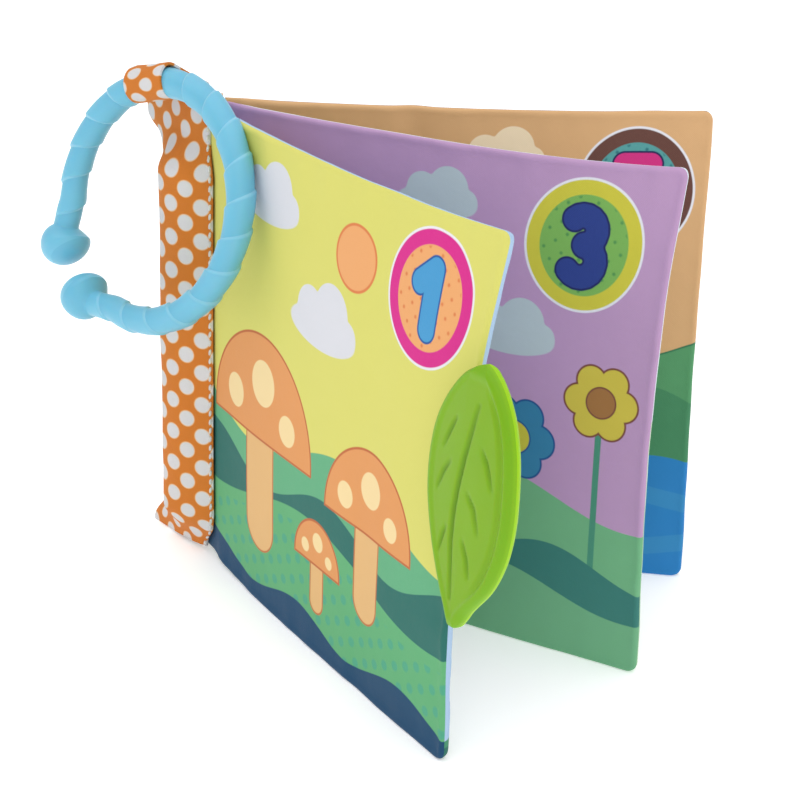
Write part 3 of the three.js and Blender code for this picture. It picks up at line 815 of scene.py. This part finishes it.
def sleeve_point(turn, height):
    """A point on the outside of the sleeve: turn goes from 0 at the flap's free edge to 1 at the back lip."""
    end = min(height, LEAF_HEIGHT - height)
    full = spine_full(height)
    x, y = (
        lerp(flat, round_, full)
        for flat, round_ in zip(curve_through(FLAT_SECTION, turn), curve_through(FULL_SECTION, turn))
    )
    x += lerp(0.6, -0.3, limit(height / 70)) * limit(-x / 12)
    if x > 0:
        over_leaf = sway("front", x, height) + LEAF_ROOT / 2 - leaf_half(x, height, LEAF_WIDTH)
        y += over_leaf * limit(x / 4)
    behind = smooth((-x - 9) / 6)
    pinch = math.exp(-(((LEAF_HEIGHT - height - PINCH_DEPTH) / PINCH_SPREAD) ** 2))
    pleat = noise.noise(Vector((turn * 11, height / 26, 5.5))) * pinch * limit((3 - x) / 8)
    lump = noise.noise(Vector((turn * 4.2, height / 16, 9.2))) * full * limit((4 - x) / 8)
    crumple = noise.noise(Vector((turn * 16, height / 5, 2.2))) * math.exp(-end / 6) * limit((3 - x) / 6)
    x += PINCH * pinch * behind * smooth((0.72 - turn) / 0.2)
    x -= FLAP_FOOT * smooth(1 - height / 9) * limit(1 - turn / 0.15)
    out = 1 if turn > 0.6 else -1
    y += out * (PLEAT_HEIGHT * pleat + STUFFING_LUMP * lump + CRUMPLE_HEIGHT * crumple)
    return Vector((x, y, height + foot_lift(x, height)))


SLEEVE_STEPS = 120
SLEEVE_ROWS = 160
FLAP_STEPS = 12


def sleeve_lengths(height):
    """The length of cloth from the flap's seam to each step round the sleeve, at one height."""
    points = [sleeve_point(step / SLEEVE_STEPS, height) for step in range(SLEEVE_STEPS + 1)]
    lengths = [0.0]
    for first, second in zip(points, points[1:]):
        lengths.append(lengths[-1] + (second - first).length)
    return [length - lengths[FLAP_STEPS] for length in lengths]


def spine_cover(cotton):
    """The stuffed sleeve of dotted cotton that holds the leaves. Its flap is sewn on the front leaf."""
    heights = [LEAF_HEIGHT * crowd_edges(row / SLEEVE_ROWS, 0.6) for row in range(SLEEVE_ROWS + 1)]
    lengths = [sleeve_lengths(height) for height in heights]
    bm = bmesh.new()

    def place(across, up):
        return sleeve_point(across, heights[round(up * SLEEVE_ROWS)])

    def printed(across, up):
        row = round(up * SLEEVE_ROWS)
        return lengths[row][round(across * SLEEVE_STEPS)], heights[row]

    add_grid(bm, SLEEVE_STEPS, SLEEVE_ROWS, place, printed)
    bmesh.ops.recalc_face_normals(bm, faces=bm.faces)
    piece = finish_piece("spine_sleeve", bm, None, cotton)
    thicken(piece, SPINE_FABRIC)
    harden(piece)
    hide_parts("spine_cover", "spine_stuffing")
    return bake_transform(piece)


def harden(piece):
    """Makes a piece's modifiers part of its mesh."""
    shown = piece.evaluated_get(bpy.context.evaluated_depsgraph_get())
    mesh = bpy.data.meshes.new_from_object(shown)
    piece.modifiers.clear()
    piece.data = mesh


def thicken(piece, thickness, offset=-1.0):
    """Gives an open sheet its cloth's thickness, inwards."""
    wall = piece.modifiers.new("cloth", "SOLIDIFY")
    wall.thickness = thickness * MM
    wall.offset = offset


def seam_allowance(name, start, end, depth, cloth):
    """A leaf's sewn root inside the spine."""
    bm = bmesh.new()
    bmesh.ops.create_cube(bm, size=1.0)
    size = Matrix.Diagonal((start - end, TAB_THICKNESS, LEAF_HEIGHT - 0.6, 1))
    bmesh.ops.transform(bm, matrix=size, verts=bm.verts)
    bmesh.ops.translate(bm, vec=(-(start + end) / 2, depth, LEAF_HEIGHT / 2), verts=bm.verts)
    bmesh.ops.bevel(
        bm, geom=bm.edges, offset=0.35, segments=3, profile=0.5, affect="EDGES", material=-1
    )
    piece = finish_piece(name + "_hem", bm, "binding", cloth)
    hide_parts(name)
    return piece


def stitch_row(bm, points, length, half_width, slant):
    """Small oval stitches, laid along the line and slanted a little across it."""
    for here, after in zip(points, points[1:]):
        along = (after - here).normalized()
        made = bmesh.ops.create_icosphere(bm, subdivisions=1, radius=1.0)["verts"]
        upright = along.to_track_quat("X", "Z").to_matrix().to_4x4()
        turn = Matrix.Rotation(math.radians(slant), 4, "Y") @ upright
        matrix = Matrix.Translation(here) @ turn @ Matrix.Diagonal((length / 2, half_width, half_width, 1))
        bmesh.ops.transform(bm, matrix=matrix, verts=made)


def spine_stitches(thread):
    """The white sewing along the flap and along the sleeve's back lip."""
    heights = [lerp(1.5, LEAF_HEIGHT - 1.5, step / STITCHES) for step in range(STITCHES + 1)]
    flap = bmesh.new()
    points = [sleeve_point(FLAP_SEAM, height) - Vector((0, 0.2, 0)) for height in heights]
    stitch_row(flap, points, 2.7, 0.5, 16)
    piece = finish_piece("flap_stitches", flap, "front_leaf", thread)
    back = bmesh.new()
    points = [sleeve_point(LIP_SEAM, height) + Vector((0, 0.1, 0)) for height in heights]
    stitch_row(back, points, 1.8, 0.28, 0)
    piece = finish_piece("lip_stitches", back, "binding", thread)


# Hanging loop and clip ring


def strap_path(turn, drop, reach):
    """The strap's drop-shaped path round the ring, once round from 0 to 1: its depth and its height."""
    distance = math.hypot(reach, drop)
    slope = -math.atan2(drop, reach)
    big = STRAP_BORE + STRAP_THICKNESS / 2
    small = STRAP_TIP - STRAP_THICKNESS / 2
    lean = math.acos((big - small) / distance)
    wrap = big * (2 * math.pi - 2 * lean)
    straight = distance * math.sin(lean)
    tip = small * 2 * lean
    travelled = turn * (wrap + 2 * straight + tip)

    def round_ring(angle):
        return (big * math.cos(angle), big * math.sin(angle))

    def round_tip(angle):
        return (distance + small * math.cos(angle), small * math.sin(angle))

    def between(first, last, part):
        return (lerp(first[0], last[0], part), lerp(first[1], last[1], part))

    if travelled < wrap:
        spot = round_ring(lean + travelled / big)
    elif travelled < wrap + straight:
        spot = between(round_ring(-lean), round_tip(-lean), (travelled - wrap) / straight)
    elif travelled < wrap + straight + tip:
        spot = round_tip(-lean + (travelled - wrap - straight) / small)
    else:
        spot = between(round_tip(lean), round_ring(lean), (travelled - wrap - straight - tip) / straight)
    depth = spot[0] * math.cos(slope) - spot[1] * math.sin(slope)
    height = spot[0] * math.sin(slope) + spot[1] * math.cos(slope)
    return depth, height


def hanging_loop(cotton):
    """The strap that holds the ring on the end of the spine. It is square to the rod and twists level."""
    bore = RING_POSE @ Vector((RING_RADIUS * math.cos(STRAP_ANGLE), 0, RING_RADIUS * math.sin(STRAP_ANGLE)))
    rod = (RING_POSE.to_3x3() @ Vector((math.sin(STRAP_ANGLE), 0, -math.cos(STRAP_ANGLE)))).normalized()
    turn = math.atan2(rod.y, rod.x)
    roll = math.asin(rod.z)
    reach = (STRAP_ROOT_DEPTH - bore.y) / math.cos(turn)
    drop = bore.z - KNUCKLE_HEIGHT
    bm = bmesh.new()

    def place(across, up):
        depth, height = strap_path(up, drop, reach)
        part = limit(depth / reach)
        width = lerp(STRAP_WIDTH, STRAP_ROOT_WIDTH, part) * (across - 0.5)
        lean = roll * (1 - part) ** 2
        across_strap = width * math.cos(lean) - height * math.sin(lean)
        return Vector((across_strap, depth, width * math.sin(lean) + height * math.cos(lean)))

    def printed(across, up):
        return STRAP_PRINT_START[0] + STRAP_WIDTH * across, STRAP_PRINT_START[1] + STRAP_PRINT_LENGTH * up

    add_grid(bm, 18, 160, place, printed)
    bmesh.ops.remove_doubles(bm, verts=bm.verts, dist=0.002)
    bmesh.ops.recalc_face_normals(bm, faces=bm.faces)
    matrix = TO_PART @ Matrix.Translation(bore) @ Matrix.Rotation(turn, 4, "Z")
    piece = finish_piece("strap_loop", bm, "loop", cotton, matrix=matrix)
    thicken(piece, STRAP_THICKNESS * 0.94, 0.0)
    soften = piece.modifiers.new("edges", "BEVEL")
    soften.width = 0.3 * MM
    soften.segments = 2
    soften.limit_method = "ANGLE"
    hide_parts("hanging_loop")
    return piece


def ring_middle(angle):
    """The middle of the rod, which flares out towards its balls."""
    from_end = min(angle - LOWER_BALL, UPPER_BALL - angle)
    flare = smooth(1 - from_end / FLARE_ANGLE)
    reach = RING_RADIUS + BALL_OFFSET * flare
    turn = math.radians(angle)
    return Vector((reach * math.cos(turn), 0, reach * math.sin(turn)))


def ring_thickness(angle, turn):
    """The rod's radius: overlapping twisted bands, that end in the two balls."""
    arm = math.radians(1) * (RING_RADIUS + BALL_OFFSET)
    from_lower = (angle - LOWER_BALL) * arm
    from_upper = (UPPER_BALL - angle) * arm
    near = min(from_lower, from_upper)
    ball = BALL_RADIUS * math.sqrt(max(0.0, 1 - (near / BALL_FLAT) ** 2)) if abs(near) < BALL_FLAT else 0.0
    if near <= 0:
        return ball
    band = (angle / RIDGE_ANGLE - turn / (2 * math.pi)) % 1.0
    saw = band - smooth((band - 1 + RIDGE_STEP) / RIDGE_STEP)
    plain = smooth((near - BALL_FLAT) / 6)
    rod = lerp(ROD_END_RADIUS, ROD_RADIUS, smooth(near / 60)) + RIDGE_HEIGHT * (saw - 0.4) * plain
    mixed = limit(0.5 + 0.5 * (ball - rod) / BALL_MELT)
    return lerp(rod, ball, mixed) + BALL_MELT * mixed * (1 - mixed)


def near_ball(angle):
    """1 at the balls, and 0 along the ridged rod."""
    arm = math.radians(1) * (RING_RADIUS + BALL_OFFSET)
    return 1 - smooth((min(angle - LOWER_BALL, UPPER_BALL - angle) * arm - BALL_FLAT) / 6)


def clip_ring(plastic):
    """The open ring: a twisted rod between two flattened balls."""
    bm = bmesh.new()
    over = math.degrees(BALL_FLAT / (RING_RADIUS + BALL_OFFSET))
    across_ring = Vector((0, 1, 0))

    def place(around, up):
        angle = lerp(LOWER_BALL - over, UPPER_BALL + over, crowd_edges(up, 0.55))
        along = (ring_middle(angle + 0.4) - ring_middle(angle - 0.4)).normalized()
        outward = across_ring.cross(along)
        turn = 2 * math.pi * around
        size = ring_thickness(angle, turn)
        return ring_middle(angle) + size * (outward * math.cos(turn) + across_ring * math.sin(turn))

    def printed(around, up):
        angle = lerp(LOWER_BALL - over, UPPER_BALL + over, crowd_edges(up, 0.55))
        return LEAF_WIDTH * (angle / RIDGE_ANGLE - around), LEAF_HEIGHT * near_ball(angle)

    add_grid(bm, 48, 760, place, printed)
    bmesh.ops.remove_doubles(bm, verts=bm.verts, dist=0.004)
    bmesh.ops.recalc_face_normals(bm, faces=bm.faces)
    piece = finish_piece("twisted_ring", bm, "ring", plastic, matrix=TO_PART @ RING_POSE)
    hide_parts("clip_ring")
    return piece


# Chewing tab


# The outline of the plate, as its height and its reach to each side.
TEETHER_LEFT = (
    (4.2, 2.8), (4.8, 4.4), (6.5, 5.6), (9, 6.6), (13, 9.2), (18.6, 12), (24.4, 14.7), (31, 17), (37, 18.6),
    (43, 19.3), (49, 19.2), (55.6, 18.2), (61, 16.3), (67, 12.7), (72.7, 7.7), (75.6, 4), (77.2, 0),
    (77.8, -2),
)
TEETHER_RIGHT = (
    (4.2, -2.8), (4.7, -0.8), (6.3, 1.2), (9.4, 2.8), (12, 5.2), (15.3, 8.6), (18.6, 11.6), (23.5, 14.6),
    (29, 17), (35, 18.4), (41, 19), (48, 18.8), (54, 18.2), (59, 17.2), (65, 15.2), (70, 12.2), (74.4, 8.4),
    (76.6, 5.4), (77.8, 2),
)
TEETHER_FOOT = 4.2
TEETHER_TIP = 77.8
MIDRIB = ((-3, 13), (-3.6, 21), (-4.2, 29), (-4, 37), (-2.9, 44.5), (-1.2, 52), (1.1, 60), (3, 67))
VEINS = (
    ((6.4, 56), (8.6, 53), (11.2, 47)),
    ((1.4, 43), (4.6, 40), (7, 34)),
    ((1.0, 30), (3.2, 26), (4.4, 21)),
    ((-6.3, 61.5), (-8.4, 58), (-11, 53)),
    ((-7.3, 49.5), (-10.2, 46), (-12.6, 41)),
    ((-7.2, 31.5), (-8.8, 28), (-9.9, 24.5)),
)


def reach_at(outline, height):
    """The outline's reach at a height, on straight lines between its points."""
    for (low, first), (high, second) in zip(outline, outline[1:]):
        if height <= high:
            return lerp(first, second, limit((height - low) / (high - low)))
    return outline[-1][1]


def smoothed_reach(outline, height):
    """The outline's reach at a height, evened out over a few millimetres."""
    near_end = min(height - TEETHER_FOOT, TEETHER_TIP - height)
    spread = limit(near_end / 2.4)
    return sum(reach_at(outline, height + offset * spread) for offset in (-2, -1, 0, 1, 2)) / 5


def crease(points, across, up, half_width):
    """How near a point lies to a pressed line, from 0 to 1. It fades at both ends."""
    best = 0.0
    count = len(points) - 1
    for step, (first, second) in enumerate(zip(points, points[1:])):
        run = (second[0] - first[0], second[1] - first[1])
        length = math.hypot(*run)
        part = limit(((across - first[0]) * run[0] + (up - first[1]) * run[1]) / length**2)
        distance = math.hypot(across - first[0] - part * run[0], up - first[1] - part * run[1])
        strength = math.sin(math.pi * lerp(0.06, 0.94, (step + part) / count)) ** 0.5
        best = max(best, smooth(1 - distance / half_width) * strength)
    return best


def leaf_teether(rubber):
    """The leaf-shaped chewing tab with its rounded rim, and the web that holds it to the fore edge."""
    bm = bmesh.new()
    half_thick = TEETHER_THICKNESS / 2

    def plate_spot(across, up):
        height = lerp(TEETHER_FOOT, TEETHER_TIP, crowd_edges(up, 0.85))
        left = smoothed_reach(TEETHER_LEFT, height)
        right = smoothed_reach(TEETHER_RIGHT, height)
        spot = lerp(-left, right, crowd_edges(across, 0.8))
        rim = min(spot + left, right - spot, (height - TEETHER_FOOT) * 0.9, (TEETHER_TIP - height) * 0.9)
        return spot, height, max(rim, 0.0)

    def pressed(spot, height):
        beside = max(crease(vein, spot, height, VEIN_HALF) for vein in VEINS)
        return max(crease(MIDRIB, spot, height, MIDRIB_HALF), VEIN_DEPTH * beside)

    def surface(side):
        def place(across, up):
            spot, height, rim = plate_spot(across, up)
            thick = half_thick * rounded(rim, TEETHER_RIM)
            if side < 0:
                beside = smooth((spot - 2) / 6) * smooth((height - 10) / 12) * smooth((74 - height) / 10)
                near = smooth(1 - abs(rim - VALLEY_PLACE) / VALLEY_SPREAD)
                valley = VALLEY_DEPTH * near * lerp(0.12, 1, beside)
                crown = CROWN_HEIGHT * smooth((rim - 5) / 9) - 0.3 - pressed(spot, height)
                thick += smooth((rim - 2.4) / 2.2) * crown - valley
            return Vector((spot, -half_thick + side * max(thick, 0.0), height))

        return place

    def printed(across, up):
        spot, height, rim = plate_spot(across, up)
        return LEAF_WIDTH * limit((rim + 1.1) / 6), LEAF_HEIGHT * pressed(spot, height)

    add_grid(bm, 100, 180, surface(-1), printed)
    add_grid(bm, 100, 180, surface(1), turned=True)
    tilt = Matrix.Rotation(math.radians(TEETHER_TILT), 4, "Y")
    bmesh.ops.transform(bm, matrix=tilt, verts=bm.verts)
    lean = math.sin(math.radians(TEETHER_TILT)) * TEETHER_LENGTH / 2 - TEETHER_REACH
    web = bmesh.ops.create_cube(bm, size=1.0)["verts"]
    size = Matrix.Diagonal((WEB_THICKNESS, TEETHER_STAND_OFF + 1.4, WEB_LENGTH, 1))
    middle = Matrix.Translation((lean, TEETHER_STAND_OFF / 2 - 0.1, TEETHER_LENGTH / 2))
    bmesh.ops.transform(bm, matrix=middle @ size, verts=web)
    bmesh.ops.recalc_face_normals(bm, faces=bm.faces)
    joint = JOINTS["teether_flap"]
    axis = Vector(joint["axis"])
    axis_tilt = Matrix.Rotation(-math.atan2(axis.y, axis.z), 4, "X")
    back = Matrix.Translation((0.2 - lean, -TEETHER_STAND_OFF, -TEETHER_LENGTH / 2))
    matrix = Matrix.Translation(Vector(joint["pos_m"])) @ Matrix.Scale(MM, 4) @ axis_tilt @ back
    piece = finish_piece("chewing_leaf", bm, "teether", rubber, matrix=matrix)
    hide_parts("leaf_teether")
    return piece


# Studio


def camera():
    yaw, pitch, roll = (math.radians(angle) for angle in (CAMERA_YAW, CAMERA_PITCH, CAMERA_ROLL))
    ahead = Vector((math.cos(pitch) * math.cos(yaw), math.cos(pitch) * math.sin(yaw), math.sin(pitch)))
    level = ahead.cross(Vector((0, 0, 1))).normalized()
    upright = level.cross(ahead)
    right = math.cos(roll) * level + math.sin(roll) * upright
    up = math.cos(roll) * upright - math.sin(roll) * level
    matrix = Matrix((right, up, -ahead)).transposed().to_4x4()
    matrix.translation = FOOT + MM * CAMERA_PLACE
    lens = bpy.data.cameras.new("camera")
    lens.lens = CAMERA_LENS
    lens.sensor_width = 36
    lens.sensor_fit = "HORIZONTAL"
    made = put("camera", lens)
    made.matrix_world = matrix
    bpy.context.scene.camera = made


def softbox(name, place, target, size, power):
    lamp = bpy.data.lights.new(name, "AREA")
    lamp.shape = "SQUARE"
    lamp.size = size
    lamp.energy = power
    made = put(name, lamp)
    made.location = place
    made.rotation_euler = (Vector(target) - Vector(place)).to_track_quat("-Z", "Y").to_euler()


def studio():
    floor_ink = Ink("floor")
    floor_ink.solid_place()
    pale = floor_ink.mix(floor_ink.lumps(400), srgb(250, 250, 250), srgb(252, 252, 252))
    material = floor_ink.shader(pale, 0.9, Emission_Color=(1, 1, 1, 1), Emission_Strength=0.3)
    bm = bmesh.new()
    bmesh.ops.create_grid(bm, x_segments=1, y_segments=1, size=6.0)
    mesh = bpy.data.meshes.new("floor")
    bm.to_mesh(mesh)
    bm.free()
    mesh.materials.append(material)
    put("floor", mesh)
    world = bpy.data.worlds.new("studio")
    world.use_nodes = True
    world.node_tree.nodes["Background"].inputs[0].default_value = (1, 1, 1, 1)
    world.node_tree.nodes["Background"].inputs[1].default_value = 0.8
    bpy.context.scene.world = world
    bpy.context.scene.view_settings.view_transform = "Standard"
    softbox("overhead", (0.1, -0.2, 2.0), (0.1, -0.2, 0), 3.0, 22)
    softbox("side", (1.6, -0.9, 0.8), (0, 0, 0.08), 1.0, 2.5)


def main():
    camera()
    studio()
    cotton = dotted_cotton()
    tape = plain_cloth("seam_tape", srgb(226, 222, 212))
    thread = plain_cloth("sewing_thread", srgb(244, 243, 240), 0.3)
    pages = {
        "front": (cover_picture, second_picture),
        "middle": (third_picture, fourth_picture),
        "back": (fifth_picture, sixth_picture),
    }
    for leaf, (front, back) in pages.items():
        soft_leaf(leaf, printed_page(leaf + "_front", front, False), printed_page(leaf + "_back", back, True))
    spine_cover(cotton)
    seam_allowance("front_leaf_tab", TAB_DEPTH, TAB_FRONT, 0.0, tape)
    seam_allowance("middle_leaf_tab", TAB_DEPTH, TAB_FRONT, TAB_SPACING, tape)
    seam_allowance("back_leaf_tab", TAB_DEPTH, 3.4, 2 * TAB_SPACING, tape)
    spine_stitches(thread)
    hanging_loop(cotton)
    clip_ring(ring_plastic())
    leaf_teether(teether_rubber())


main()
